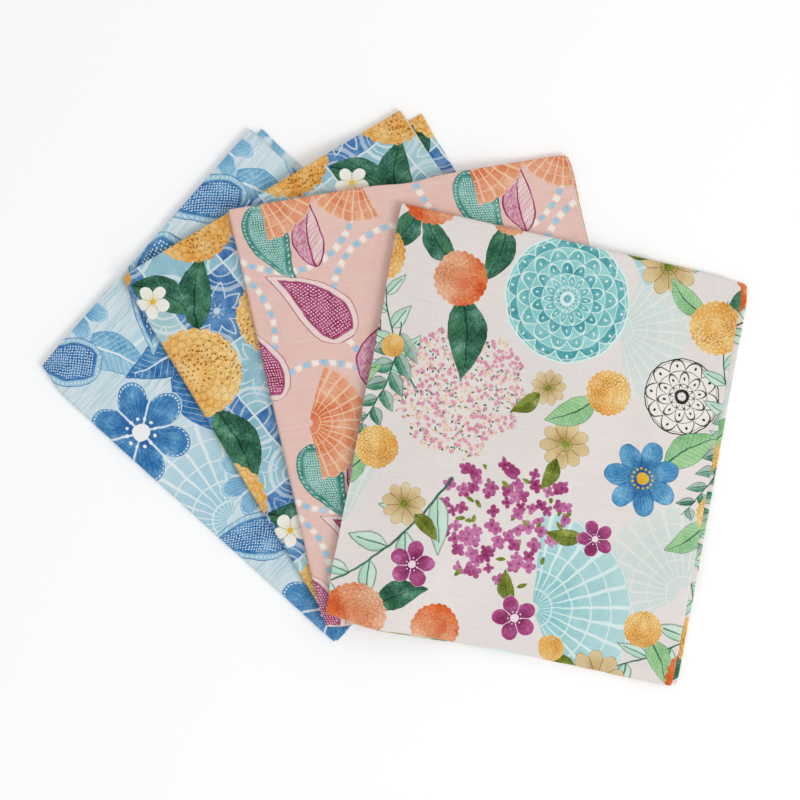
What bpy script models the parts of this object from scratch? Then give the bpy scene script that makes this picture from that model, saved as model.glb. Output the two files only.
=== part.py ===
"""Fat quarter bundle: four cuts of quilting cotton, each folded in half twice, fanned out
on top of one another about one shared corner.

Lengths are in millimetres until the meshes are made. X points right, Y away from the near
edge and Z up. The lowest cloth lies on Z = 0 and the bundle is centred on the Z axis.

A folded cloth has four leaves. The first fold halves the cut and joins the leaves in pairs
with two tight hairpins. The second fold halves it again and wraps one pair round the other.
That leaves one edge with the second fold, one with the two hairpins and two raw edges.
"""

from typing import NamedTuple

import bpy
import numpy as np
from mathutils import Vector
from mathutils.bvhtree import BVHTree

MILLIMETRE = 0.001

# The sheet, the gap between its leaves, and the gap between one cloth and the next.
SHEET = 1.0
LEAF_GAP = 0.35
CLOTH_GAP = 0.35

# A cloth lies level until it is this far past an edge below, and then slopes down.
EDGE_CLEARANCE = 2.0
SLOPE_LENGTH = 52.0

# Grid lines: the strip along each edge, the spacing inside it, and the steps round each fold.
EDGE_STRIP = 12.0
LINE_SPACING = 23.0
HAIRPIN_STEPS = 4
FOLD_STEPS = 6

# Settling: test points along each side of a grid triangle, and small lifts in many rounds.
TEST_STEPS = 8
SETTLING_ROUNDS = 200
SETTLING_SHARE = 0.2

LEAF_PITCH = SHEET + LEAF_GAP
FOLDED_THICKNESS = SHEET + 3 * LEAF_PITCH
CLOTH_STEP = FOLDED_THICKNESS + CLOTH_GAP

# How far each fold bulges past the straight part of its leaves.
HAIRPIN_BULGE = (LEAF_PITCH + SHEET) / 2
FOLD_BULGE = FOLDED_THICKNESS / 2


class Leaf(NamedTuple):
    """How far a leaf's edges stand out past the folded outline, at both ends of each edge."""

    side_far: float  # raw side, where it meets the first fold
    side_near: float  # raw side, at the free corner
    end_fold: float  # raw end, at the second fold
    end_free: float  # raw end, at the free corner
    hairpin_fold: float  # first fold, at the second fold
    hairpin_free: float  # first fold, at its free end


class SoftCorner(NamedTuple):
    """A corner that the folding has rounded or cut off."""

    corner: str
    pull_along: float  # how far it is drawn in along the second fold's direction
    pull_across: float  # how far it is drawn in along the first fold's direction
    reach: float  # how far along the edges that is felt


class FatQuarter(NamedTuple):
    """One folded cloth. Its corners are where the outer edges of its top leaf would meet."""

    name: str
    colour: tuple
    fold_start: tuple  # raw end of the second fold
    double_fold: tuple  # where both folds meet
    hairpin_end: tuple  # free end of the first fold
    free_corner: tuple  # where the raw edges meet
    soft_corners: tuple
    leaves: tuple  # from the top leaf down


FAT_QUARTERS = (
    FatQuarter(
        name="fat_quarter_pale_blue",
        colour=(0.62, 0.73, 0.80),
        fold_start=(-41.2, -166.6),
        double_fold=(-245.4, 18.4),
        hairpin_end=(-98.8, 184.2),
        free_corner=(110.0, -8.0),
        soft_corners=(
            SoftCorner("double_fold", 0.6, 5.6, 14.0),
            SoftCorner("fold_start", 0.3, 0.3, 4.0),
        ),
        leaves=(
            Leaf(0.0, 0.0, 0.0, 0.0, 0.0, 0.0),
            Leaf(1.1, 0.6, -0.8, -0.5, 0.0, 0.0),
            Leaf(5.6, 7.0, 1.4, 1.0, -0.5, -5.6),
            Leaf(4.7, 6.0, 0.6, 1.6, -0.5, -5.6),
        ),
    ),
    FatQuarter(
        name="fat_quarter_tile",
        colour=(0.27, 0.46, 0.60),
        fold_start=(-44.0, -154.0),
        double_fold=(-186.9, 83.2),
        hairpin_end=(3.8, 197.3),
        free_corner=(160.0, -38.0),
        soft_corners=(
            SoftCorner("double_fold", 1.2, 1.2, 7.0),
            SoftCorner("fold_start", 2.0, 2.0, 9.0),
        ),
        leaves=(
            Leaf(0.0, 0.0, 0.0, 0.0, 0.0, 0.0),
            Leaf(0.9, 0.4, -0.6, -1.2, 0.0, 0.0),
            Leaf(10.9, 3.5, -2.2, 1.8, 0.0, -9.4),
            Leaf(10.2, 4.2, -1.4, 2.6, 0.0, -9.4),
        ),
    ),
    FatQuarter(
        name="fat_quarter_blush",
        colour=(0.74, 0.50, 0.45),
        fold_start=(-48.0, -157.0),
        double_fold=(-113.5, 129.0),
        hairpin_end=(118.0, 167.5),
        free_corner=(184.0, -114.0),
        soft_corners=(
            SoftCorner("hairpin_end", 1.0, 1.0, 6.0),
            SoftCorner("fold_start", 2.2, 2.2, 9.0),
        ),
        leaves=(
            Leaf(0.0, 0.0, 0.0, 0.0, 0.0, 0.0),
            Leaf(0.7, 0.9, 0.8, 0.4, 0.0, 0.0),
            Leaf(1.5, 1.2, 1.6, 1.4, -0.6, -1.0),
            Leaf(0.9, 1.6, 1.0, 2.0, -0.6, -1.0),
        ),
    ),
    FatQuarter(
        name="fat_quarter_cream",
        colour=(0.78, 0.74, 0.70),
        fold_start=(5.5, 133.5),
        double_fold=(240.0, 80.5),
        hairpin_end=(190.5, -197.2),
        free_corner=(-48.5, -151.5),
        soft_corners=(
            SoftCorner("double_fold", 2.0, 2.0, 10.0),
            SoftCorner("hairpin_end", 0.8, 0.8, 5.0),
            SoftCorner("free_corner", 0.8, 5.6, 20.0),
        ),
        leaves=(
            Leaf(0.0, 0.0, 0.0, 0.0, 0.0, 0.0),
            Leaf(-0.6, 0.7, -1.0, -0.6, 0.0, 0.0),
            Leaf(-1.2, 1.3, -0.4, -2.0, 4.4, 3.2),
            Leaf(-1.8, 0.5, -1.8, -1.2, 4.4, 3.2),
        ),
    ),
)


def mix(first, second, share):
    """A value between two others."""
    return first + (second - first) * share


def smooth(share):
    """A soft step from 0 to 1."""
    share = np.clip(share, 0.0, 1.0)
    return share * share * (3.0 - 2.0 * share)


def grid_lines(start, end):
    """The places of the grid lines over a folded cloth, from one edge to the other."""
    first, last = start + EDGE_STRIP, end - EDGE_STRIP
    spans = round((last - first) / LINE_SPACING)
    return np.array([start, *np.linspace(first, last, spans + 1), end])


class Plan:
    """The folded cloth seen from above, as a grid that reaches as far as its longest leaves.

    Line numbers run along from the raw end to the first fold, and across from the second
    fold to the raw side. A leaf lies on the same inner lines and ends on lines of its own.
    """

    def __init__(self, quarter):
        self.quarter = quarter
        fold_start, double_fold, hairpin_end, free_corner = (
            np.array(corner)
            for corner in (
                quarter.fold_start,
                quarter.double_fold,
                quarter.hairpin_end,
                quarter.free_corner,
            )
        )
        self.corners = fold_start, double_fold, hairpin_end, free_corner
        self.length = np.linalg.norm(double_fold - fold_start)
        self.width = np.linalg.norm(hairpin_end - double_fold)
        self.past_hairpin = (double_fold - fold_start) / self.length
        self.past_fold = (double_fold - hairpin_end) / self.width
        self.along = grid_lines(0.0, self.length - HAIRPIN_BULGE)
        self.across = grid_lines(FOLD_BULGE, self.width)
        self.longest = Leaf(*np.max(quarter.leaves, axis=0))
        self.nodes = self.place_nodes()
        self.heights = np.zeros(self.nodes.shape[:2])

    def reaches(self, leaf):
        """How far the leaf's end, hairpin and side stand out, line by line."""
        across_share = self.across / self.width
        along_share = self.along / self.length
        end = mix(leaf.end_fold, leaf.end_free, across_share)
        hairpin = mix(leaf.hairpin_fold, leaf.hairpin_free, across_share)
        side = mix(leaf.side_near, leaf.side_far, along_share)
        return end, hairpin, side

    def place_nodes(self):
        """Where the grid's lines cross."""
        along, across = np.meshgrid(self.along, self.across, indexing="ij")
        end, hairpin, side = self.reaches(self.longest)
        along[0] -= end
        along[-1] += hairpin
        across[:, -1] += side
        along, across = along[..., None] / self.length, across[..., None] / self.width
        fold_start, double_fold, hairpin_end, free_corner = self.corners
        nodes = mix(
            mix(fold_start, double_fold, along),
            mix(free_corner, hairpin_end, along),
            across,
        )
        return self.softened(nodes)

    def softened(self, points):
        """The points with the rounded corners drawn in."""
        for soft in self.quarter.soft_corners:
            corner = np.array(getattr(self.quarter, soft.corner))
            at_hairpins = soft.corner in ("double_fold", "hairpin_end")
            at_fold = soft.corner in ("double_fold", "fold_start")
            along = self.past_hairpin * (-1 if at_hairpins else 1)
            across = self.past_fold * (-1 if at_fold else 1)
            pull = soft.pull_along * along + soft.pull_across * across
            distance = np.linalg.norm(points - corner, axis=-1, keepdims=True)
            points = points + pull * np.exp(-((distance / soft.reach) ** 2))
        return points

    def outline(self):
        """The four corners that the longest leaves would have without soft corners."""
        fold_start, double_fold, hairpin_end, free_corner = self.corners
        along, across, reach = self.past_hairpin, -self.past_fold, self.longest
        return np.array(
            [
                fold_start - reach.end_fold * along,
                double_fold + reach.hairpin_fold * along,
                hairpin_end + reach.hairpin_free * along + reach.side_far * across,
                free_corner - reach.end_free * along + reach.side_near * across,
            ]
        )

    def leaf_lines(self, leaf):
        """The line numbers, with fractions, on which each node of a leaf lies."""
        lines = np.stack(
            np.meshgrid(range(len(self.along)), range(len(self.across)), indexing="ij"), axis=-1
        ).astype(float)
        own, longest = self.reaches(leaf), self.reaches(self.longest)
        end, hairpin, side = (
            (EDGE_STRIP + mine) / (EDGE_STRIP + most)
            for mine, most in zip(own, longest, strict=True)
        )
        lines[0, :, 0] = 1 - end
        lines[-1, :, 0] = len(self.along) - 2 + hairpin
        lines[:, -1, 1] = len(self.across) - 2 + side
        return lines

    def surface(self, lines):
        """Points of the cloth's underside, with heights, at line numbers with fractions."""
        last = np.array(self.heights.shape) - 2
        cell = np.minimum(np.floor(lines).astype(int), last)
        share = lines - cell
        row, column = cell[..., 0], cell[..., 1]
        along, across = share[..., :1], share[..., 1:]
        nodes = np.concatenate([self.nodes, self.heights[..., None]], axis=-1)
        return mix(
            mix(nodes[row, column], nodes[row + 1, column], along),
            mix(nodes[row, column + 1], nodes[row + 1, column + 1], along),
            across,
        )


def distance_outside(outline, points):
    """How far points lie outside a four-sided outline, and 0 inside it."""
    ends = np.roll(outline, -1, axis=0)
    edges = ends - outline
    away = points[..., None, :] - outline
    share = np.clip((away * edges).sum(-1) / (edges**2).sum(-1), 0.0, 1.0)
    distance = np.linalg.norm(away - share[..., None] * edges, axis=-1).min(-1)
    turns = edges[:, 0] * away[..., 1] - edges[:, 1] * away[..., 0]
    inside = np.all(turns >= 0, axis=-1) | np.all(turns <= 0, axis=-1)
    return np.where(inside, 0.0, distance)


def draped_heights(nodes, plans_below):
    """How high a cloth lies over the ones below: on them, and sloping down past their edges."""
    heights = np.zeros(nodes.shape[:-1])
    for plan in plans_below:
        past_edge = distance_outside(plan.outline(), nodes) - EDGE_CLEARANCE
        heights += CLOTH_STEP * (1.0 - smooth(past_edge / SLOPE_LENGTH))
    return heights


def top_of(tree, x, y):
    """The height of a solid's top under a point, or nothing where there is none."""
    hit = tree.ray_cast(Vector((x, y, 1000.0)), Vector((0.0, 0.0, -1.0)))[0]
    return None if hit is None else hit.z


def least_height(trees, x, y):
    """The least height at which a cloth clears the solids below and their edges."""
    ring = np.linspace(0.0, 2 * np.pi, 8, endpoint=False)
    least = 0.0
    for tree in trees:
        tops = [top_of(tree, x, y)]
        if tops[0] is None:
            tops = [
                top_of(tree, x + EDGE_CLEARANCE * np.cos(turn), y + EDGE_CLEARANCE * np.sin(turn))
                for turn in ring
            ]
        least = max([least, *(top + CLOTH_GAP for top in tops if top is not None)])
    return least


def settle(plan, trees):
    """Lifts the grid's nodes until each of its triangles clears the solids below."""
    rows, columns = plan.heights.shape
    shares = np.array(
        [
            (1 - first - second, first, second)
            for first in np.linspace(0, 1, TEST_STEPS + 1)
            for second in np.linspace(0, 1, TEST_STEPS + 1)
            if first + second < 1 + 1e-9
        ]
    )
    number = np.arange(rows * columns).reshape(rows, columns)
    near, far = number[:-1, :-1].ravel(), number[1:, 1:].ravel()
    beside, ahead = number[:-1, 1:].ravel(), number[1:, :-1].ravel()
    triangles = np.concatenate(
        [np.stack([near, far, beside], axis=1), np.stack([near, ahead, far], axis=1)]
    )
    points = np.einsum("sk,tkc->tsc", shares, plan.nodes.reshape(-1, 2)[triangles])
    least = np.array([[least_height(trees, x, y) for x, y in row] for row in points])
    heights = plan.heights.ravel().copy()
    weights = shares / (shares**2).sum(axis=1, keepdims=True)
    for _ in range(SETTLING_ROUNDS):
        short = np.maximum(least - heights[triangles] @ shares.T, 0.0)
        lift = np.zeros_like(heights)
        np.maximum.at(lift, triangles, (short[:, :, None] * weights).max(axis=1))
        heights += SETTLING_SHARE * lift
    plan.heights = heights.reshape(rows, columns)


def sheet_surface(plan, printed):
    """One face of the folded sheet, as a grid of points.

    Rows run along the cut: up an outer leaf, round the hairpin and back down the inner leaf.
    Columns run across it: over the upper pair, round the second fold and under the lower pair.
    """
    top, second, third, bottom = (plan.leaf_lines(leaf) for leaf in plan.quarter.leaves)
    hairpin_radius = (LEAF_PITCH + SHEET * (1 if printed else -1)) / 2
    turns = np.linspace(0.0, np.pi, HAIRPIN_STEPS + 1)[1:-1]
    count = len(plan.along)
    line = [*range(count), *[count - 1] * len(turns), *reversed(range(count))]
    turn = np.array([*[0.0] * count, *turns, *[np.pi] * count])
    inner_share = ((1 - np.cos(turn)) / 2)[:, None, None]
    bulge = np.broadcast_to(
        (hairpin_radius * np.sin(turn))[:, None], (len(line), len(plan.across))
    )
    pairs = []
    for outer, inner, middle, way in (
        (top, second, SHEET / 2 + 2.5 * LEAF_PITCH, 1),
        (bottom, third, SHEET / 2 + 0.5 * LEAF_PITCH, -1),
    ):
        rise = middle + way * hairpin_radius * np.cos(turn)
        rise = np.broadcast_to(rise[:, None], bulge.shape)
        pairs.append((mix(outer[line], inner[line], inner_share), rise))
    (upper, upper_rise), (lower, lower_rise) = pairs

    turns = np.linspace(0.0, np.pi, FOLD_STEPS + 1)[1:-1]
    lower_share = (1 - np.cos(turns)) / 2
    around = mix(upper[:, :1], lower[:, :1], lower_share[None, :, None])
    half_rise = (upper_rise[:, :1] - lower_rise[:, :1]) / 2
    around_rise = (upper_rise[:, :1] + lower_rise[:, :1]) / 2 + half_rise * np.cos(turns)
    around_bulge = half_rise * np.sin(turns)

    lines = np.concatenate([upper[:, ::-1], around, lower], axis=1)
    rise = np.concatenate([upper_rise[:, ::-1], around_rise, lower_rise], axis=1)
    past_hairpin = np.concatenate([bulge, bulge[:, : len(turns)], bulge], axis=1)
    past_fold = np.concatenate([np.zeros(bulge.shape), around_bulge, np.zeros(bulge.shape)], axis=1)
    points = plan.surface(lines)
    points[..., :2] += past_hairpin[..., None] * plan.past_hairpin
    points[..., :2] += past_fold[..., None] * plan.past_fold
    points[..., 2] += rise
    return points


def sheet_triangles(plan, rows, columns):
    """The closed sheet's triangles: its two faces and the raw edge all round.

    Each leaf is cut along the same diagonals as the leaf below, which keeps them parallel.
    """
    number = np.arange(2 * rows * columns).reshape(2, rows, columns)
    triangles = []
    for row in range(rows - 1):
        for column in range(columns - 1):
            on_inner_leaf = row >= len(plan.along) - 1
            on_lower_pair = column >= len(plan.across) - 1
            for face in (0, 1):
                a, b = number[face, row, column : column + 2]
                d, c = number[face, row + 1, column : column + 2]
                if on_inner_leaf != on_lower_pair:
                    halves = (a, b, c), (a, c, d)
                else:
                    halves = (a, b, d), (b, c, d)
                triangles += [half[::-1] if face else half for half in halves]
    rim = [
        *((0, column) for column in range(columns)),
        *((row, columns - 1) for row in range(1, rows)),
        *((rows - 1, column) for column in reversed(range(columns - 1))),
        *((row, 0) for row in reversed(range(1, rows - 1))),
    ]
    for (row, column), (next_row, next_column) in zip(rim, [*rim[1:], rim[0]], strict=True):
        a, b = number[0, row, column], number[0, next_row, next_column]
        d, c = number[1, row, column], number[1, next_row, next_column]
        triangles += [(a, d, c), (a, c, b)]
    return triangles


def turned_outwards(points, triangles):
    """The triangles with their faces pointing out of the solid."""
    a, b, c = (points[np.array(triangles)[:, corner]] for corner in range(3))
    volume = (a * np.cross(b, c)).sum() / 6
    return triangles if volume > 0 else [triangle[::-1] for triangle in triangles]


def cloth_material(quarter):
    """Plain cotton in the cloth's main colour."""
    material = bpy.data.materials.new(f"{quarter.name}_cotton")
    material.use_nodes = True
    shader = material.node_tree.nodes["Principled BSDF"]
    shader.inputs["Base Color"].default_value = (*quarter.colour, 1.0)
    shader.inputs["Roughness"].default_value = 0.9
    shader.inputs["Metallic"].default_value = 0.0
    return material


def add_cloth(quarter, points, triangles):
    """One folded cloth as an object of its own, in metres."""
    mesh = bpy.data.meshes.new(quarter.name)
    mesh.from_pydata((points * MILLIMETRE).tolist(), [], triangles)
    mesh.materials.append(cloth_material(quarter))
    mesh.shade_smooth()
    mesh.set_sharp_from_angle(angle=np.radians(50))
    cloth = bpy.data.objects.new(quarter.name, mesh)
    bpy.context.collection.objects.link(cloth)
    return cloth


def build_bundle():
    """Lays the four folded cloths on one another, from the lowest up."""
    plans, trees = [], []
    for quarter in FAT_QUARTERS:
        plan = Plan(quarter)
        plan.heights = draped_heights(plan.nodes, plans)
        if trees:
            settle(plan, trees)
        faces = np.stack([sheet_surface(plan, printed) for printed in (True, False)])
        points = faces.reshape(-1, 3)
        triangles = turned_outwards(points, sheet_triangles(plan, *faces.shape[1:3]))
        triangles = [tuple(int(corner) for corner in triangle) for triangle in triangles]
        add_cloth(quarter, points, triangles)
        plans.append(plan)
        trees.append(BVHTree.FromPolygons(points.tolist(), triangles))


for leftover in list(bpy.data.objects):
    bpy.data.objects.remove(leftover)
build_bundle()
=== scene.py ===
"""The looks of the fat quarter bundle: four printed quilting cottons, each folded in half
twice and fanned out over one another.

Lengths are in millimetres until the meshes are made. X points right, Y away from the near
edge and Z up, as in the frame.
"""

from typing import NamedTuple

import bpy
import numpy as np
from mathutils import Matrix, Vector


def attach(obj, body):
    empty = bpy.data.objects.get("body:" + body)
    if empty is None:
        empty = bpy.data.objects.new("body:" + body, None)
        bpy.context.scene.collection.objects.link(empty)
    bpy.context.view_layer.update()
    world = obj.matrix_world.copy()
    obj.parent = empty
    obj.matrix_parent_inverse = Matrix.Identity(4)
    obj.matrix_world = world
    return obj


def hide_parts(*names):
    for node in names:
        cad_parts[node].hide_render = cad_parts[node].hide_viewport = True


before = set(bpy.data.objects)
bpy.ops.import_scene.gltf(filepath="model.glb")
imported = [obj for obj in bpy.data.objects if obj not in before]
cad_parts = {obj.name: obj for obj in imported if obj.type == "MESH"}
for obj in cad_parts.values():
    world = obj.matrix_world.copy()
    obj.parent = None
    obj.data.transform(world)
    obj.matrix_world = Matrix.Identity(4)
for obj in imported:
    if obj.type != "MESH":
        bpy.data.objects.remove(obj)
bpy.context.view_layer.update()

MILLIMETRE = 0.001

# The woven sheet, the pitch of its leaves, and the height from one cloth to the next.
SHEET = 0.55
LEAF_PITCH = 1.35
CLOTH_STEP = 5.4
THICKNESS = SHEET + 3 * LEAF_PITCH

# A cloth lies level until it is this far past an edge below, and then slopes down.
EDGE_CLEARANCE = 2.0
SLOPE_LENGTH = 52.0

# The mesh: the spacing of its lines and the steps round each fold.
LINE_SPACING = 3.3
HAIRPIN_STEPS = 8
FOLD_STEPS = 12
SHARP_ANGLE = np.radians(50)

# How far in from an edge a leaf parts from its neighbours, and how its raw edges wander.
PARTING = 40.0
WANDER = 0.35
EDGE_WAVES = (17.0, 6.3)

# The low waves in a cloth, and how long they are along X and Y.
WAVE_HEIGHT = 0.35
CLOTH_WAVES = ((23.0, 37.0), (-41.0, 29.0))

# How far the two folds bulge past the leaves.
HAIRPIN_BULGE = (LEAF_PITCH + SHEET) / 2
FOLD_BULGE = THICKNESS / 2

# Print and weave.
FULL_TURN = 2 * np.pi
ORIGIN = (0.0, 0.0, 0.0)
WHITE = (1.0, 1.0, 1.0, 1.0)
NO_REPEAT = (4000.0, 4000.0, 2.0)
EDGE_SOFTNESS = 0.007
NEXT_TO_NOTHING = 1e-7
SCALED = {"operation": "SCALE"}
REVERSE_PALENESS = 0.62

# The cotton's finish: from between the threads to the top of them. Its colour is scaled there too, as
# painted shade between the threads and painted highlight on top of them.
THREAD_RANGE = (0.2, 1.2)
PAINTED_THREAD_SHADING = (0.90, 1.04)
THREAD_ROUGHNESS = (0.96, 0.80)
THREAD_RELIEF = 0.06
RELIEF_STRENGTH = 0.6
COTTON_GLOSS = 0.2
COTTON_SHEEN = 0.08
SHEEN_ROUGHNESS = 0.5

# The camera looks straight down, and the light is even with a soft key. In metres.
CAMERA_HEIGHT = 4.0
FRAMED_HEIGHT = 0.015
FRAME_WIDTH = 0.5464
FRAME_CENTRE = (0.0041, -0.0010)
SENSOR_WIDTH = 36.0
CAMERA_REACH = 20.0
ROOM_LIGHT = 0.72
KEY_POWER = 22.0
KEY_PLACE = (1.6, -0.9, 1.9)
KEY_SIZE = 1.2
FLOOR_SIZE = 12.0
FLOOR_COLOUR = (0.95, 0.95, 0.95, 1.0)
FLOOR_ROUGHNESS = 0.9
FLOOR_GLOSS = 0.1
FLOOR_GLOW = 0.1


class Leaf(NamedTuple):
    """How far a leaf's edges stand out past the folded outline, at both ends of each edge."""

    side_far: float = 0.0  # raw side, where it meets the first fold
    side_near: float = 0.0  # raw side, at the free corner
    end_fold: float = 0.0  # raw end, at the second fold
    end_free: float = 0.0  # raw end, at the free corner
    hairpin_fold: float = 0.0  # first fold, at the second fold
    hairpin_free: float = 0.0  # first fold, at its free end


class SoftSpot(NamedTuple):
    """A corner, or a stretch of edge, that is drawn in or let out."""

    along: float  # its place, as a share of the length from the raw end
    across: float  # its place, as a share of the width from the second fold
    pull_along: float  # towards the raw end
    pull_across: float  # towards the raw side
    reach: float


class Crease(NamedTuple):
    """A soft ridge, or a trough where its height is negative, from one point to another."""

    start: tuple
    end: tuple
    height: float
    width: float


class FatQuarter(NamedTuple):
    """One folded cloth. Its corners are where the outer edges of its top leaf would meet.

    They start at the raw end of the second fold and go on to where both folds meet, the free
    end of the first fold, and the free corner, where the raw edges meet.
    """

    node: str
    slot: str
    corners: tuple
    soft_spots: tuple
    leaves: tuple  # from the top leaf down
    creases: tuple
    print_across: bool = False  # the print stands upright across the cloth, not along it


FAT_QUARTERS = (
    FatQuarter(
        node="fat_quarter_pale_blue",
        slot="pale_blue_cotton",
        corners=((-41.2, -166.6), (-245.4, 18.4), (-98.8, 184.2), (110.0, -8.0)),
        soft_spots=(
            SoftSpot(1.0, 0.0, 0.6, 5.6, 14.0),
            SoftSpot(0.0, 0.0, -0.3, 0.3, 4.0),
        ),
        leaves=(
            Leaf(),
            Leaf(1.1, 0.6, -0.8, -0.5, 0.0, 0.0),
            Leaf(5.6, 7.0, 1.4, 1.0, -0.5, -5.6),
            Leaf(4.7, 6.0, 0.6, 1.6, -0.5, -5.6),
        ),
        creases=(
            Crease((-205.0, 45.0), (-120.0, -50.0), 0.5, 7.0),
            Crease((-170.0, 95.0), (-150.0, 20.0), -0.5, 9.0),
        ),
    ),
    FatQuarter(
        node="fat_quarter_tile",
        slot="tile_cotton",
        corners=((-44.0, -154.0), (-186.9, 83.2), (3.8, 197.3), (160.0, -38.0)),
        soft_spots=(
            SoftSpot(1.0, 0.0, 1.2, 1.2, 7.0),
            SoftSpot(0.0, 0.0, -2.0, 2.0, 9.0),
        ),
        leaves=(
            Leaf(),
            Leaf(0.9, 0.4, -0.6, -1.2, 0.0, 0.0),
            Leaf(10.9, 3.5, -2.2, 1.8, 0.0, -9.4),
            Leaf(10.2, 4.2, -1.4, 2.6, 0.0, -9.4),
        ),
        creases=(
            Crease((-150.0, 75.0), (-115.0, 0.0), 0.5, 7.0),
            Crease((-95.0, 130.0), (10.0, 160.0), 0.5, 9.0),
        ),
    ),
    FatQuarter(
        node="fat_quarter_blush",
        slot="blush_cotton",
        corners=((-48.0, -157.0), (-113.5, 129.0), (118.0, 167.5), (184.0, -114.0)),
        soft_spots=(
            SoftSpot(1.0, 1.0, 1.0, -1.0, 6.0),
            SoftSpot(0.0, 0.0, -2.2, 2.2, 9.0),
            SoftSpot(1.0, 0.53, 2.0, 0.0, 16.0),
        ),
        leaves=(
            Leaf(),
            Leaf(0.7, 0.9, 0.8, 0.4, 0.0, 0.0),
            Leaf(1.5, 1.2, 1.6, 1.4, -0.6, -1.0),
            Leaf(0.9, 1.6, 1.0, 2.0, -0.6, -1.0),
        ),
        creases=(
            Crease((9.0, 150.0), (-4.0, 96.0), -0.9, 7.0),
            Crease((-80.0, 90.0), (-45.0, -60.0), 0.5, 8.0),
            Crease((30.0, 150.0), (100.0, 154.0), 0.6, 9.0),
            Crease((-18.0, 62.0), (-42.0, -132.0), 0.8, 7.0),
        ),
    ),
    FatQuarter(
        node="fat_quarter_cream",
        slot="cream_cotton",
        corners=((5.5, 133.5), (240.0, 80.5), (190.5, -197.2), (-48.5, -151.5)),
        print_across=True,
        soft_spots=(
            SoftSpot(1.0, 0.0, 2.0, 2.0, 10.0),
            SoftSpot(1.0, 1.0, 0.8, -0.8, 5.0),
            SoftSpot(0.0, 1.0, -0.8, -5.6, 20.0),
            SoftSpot(0.46, 1.0, 0.0, -2.5, 75.0),
        ),
        leaves=(
            Leaf(),
            Leaf(-0.6, 0.7, -1.0, -0.6, 0.0, 0.0),
            Leaf(-1.2, 1.3, -0.4, -2.0, 4.4, 3.2),
            Leaf(-1.8, 0.5, -1.8, -1.2, 4.4, 3.2),
        ),
        creases=(
            Crease((-30.0, -60.0), (150.0, -95.0), 0.6, 12.0),
            Crease((60.0, 110.0), (45.0, -150.0), -0.5, 10.0),
            Crease((175.0, 70.0), (205.0, -60.0), 0.6, 9.0),
            Crease((-25.0, -140.0), (30.0, -152.0), 0.9, 7.0),
        ),
    ),
)


def mix(first, second, share):
    """A value between two others."""
    return first + (second - first) * share


def smooth(share):
    """A soft step from 0 to 1."""
    share = np.clip(share, 0.0, 1.0)
    return share * share * (3.0 - 2.0 * share)


def even_lines(start, end):
    """Evenly spaced places from one edge to the other."""
    return np.linspace(start, end, round((end - start) / LINE_SPACING) + 1)


def wander(distance, leaf_number):
    """How a raw edge wanders in and out along its length."""
    phase = 1.7 * leaf_number
    long_wave, short_wave = (distance / length for length in EDGE_WAVES)
    return WANDER * (np.sin(long_wave + phase) + 0.6 * np.sin(short_wave + 2 * phase))


class Plan:
    """A folded cloth seen from above, in distances along and across it.

    Along runs from the raw end to the first fold, and across from the second fold to the
    raw side.
    """

    def __init__(self, quarter):
        self.quarter = quarter
        self.corners = np.array(quarter.corners)
        fold_start, double_fold, hairpin_end, _ = self.corners
        self.length = np.linalg.norm(double_fold - fold_start)
        self.width = np.linalg.norm(hairpin_end - double_fold)
        self.past_hairpin = (double_fold - fold_start) / self.length
        self.past_fold = (double_fold - hairpin_end) / self.width
        self.along = even_lines(0.0, self.length - HAIRPIN_BULGE)
        self.across = even_lines(FOLD_BULGE, self.width)

    def leaf_places(self, leaf_number):
        """How far along and across each line crossing of a leaf lies."""
        leaf = self.quarter.leaves[leaf_number]
        along, across = np.meshgrid(self.along, self.across, indexing="ij")
        along_share, across_share = along / self.length, across / self.width
        end = mix(leaf.end_fold, leaf.end_free, across_share) + wander(across, leaf_number)
        side = mix(leaf.side_near, leaf.side_far, along_share) + wander(along, leaf_number + 4)
        hairpin = mix(leaf.hairpin_fold, leaf.hairpin_free, across_share)
        near_end = smooth(1.0 - along / PARTING)
        near_hairpin = smooth(1.0 - (self.along[-1] - along) / PARTING)
        near_side = smooth(1.0 - (self.width - across) / PARTING)
        return np.stack(
            [along - end * near_end + hairpin * near_hairpin, across + side * near_side], axis=-1
        )

    def on_table(self, along_share, across_share):
        """The point at the given shares of the folded length and width."""
        fold_start, double_fold, hairpin_end, free_corner = self.corners
        return mix(
            mix(fold_start, double_fold, along_share),
            mix(free_corner, hairpin_end, along_share),
            across_share,
        )

    def softened(self, points):
        """The points with the soft spots drawn in."""
        for soft in self.quarter.soft_spots:
            spot = self.on_table(soft.along, soft.across)
            pull = -soft.pull_along * self.past_hairpin - soft.pull_across * self.past_fold
            distance = np.linalg.norm(points - spot, axis=-1, keepdims=True)
            points = points + pull * np.exp(-((distance / soft.reach) ** 2))
        return points

    def outline(self):
        """The four corners that the longest leaves would have without soft spots."""
        fold_start, double_fold, hairpin_end, free_corner = self.corners
        along, across = self.past_hairpin, -self.past_fold
        reach = Leaf(*np.max(self.quarter.leaves, axis=0))
        return np.array(
            [
                fold_start - reach.end_fold * along,
                double_fold + reach.hairpin_fold * along,
                hairpin_end + reach.hairpin_free * along + reach.side_far * across,
                free_corner - reach.end_free * along + reach.side_near * across,
            ]
        )

    def loft(self, points):
        """How much thicker than pressed leaves the cloth lies, for its waves and creases."""
        x, y = points[..., 0], points[..., 1]
        wave, cross_wave = (x / along_x + y / along_y for along_x, along_y in CLOTH_WAVES)
        raised = WAVE_HEIGHT * (1.0 + np.sin(wave) * np.cos(cross_wave))
        for crease in self.quarter.creases:
            start, end = np.array(crease.start), np.array(crease.end)
            way = end - start
            share = np.clip(((points - start) @ way) / (way @ way), 0.0, 1.0)
            distance = np.linalg.norm(points - start - share[..., None] * way, axis=-1)
            fading = np.sin(np.pi * share) ** 0.5
            raised = raised + crease.height * fading * np.exp(-((distance / crease.width) ** 2))
        return raised


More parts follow.
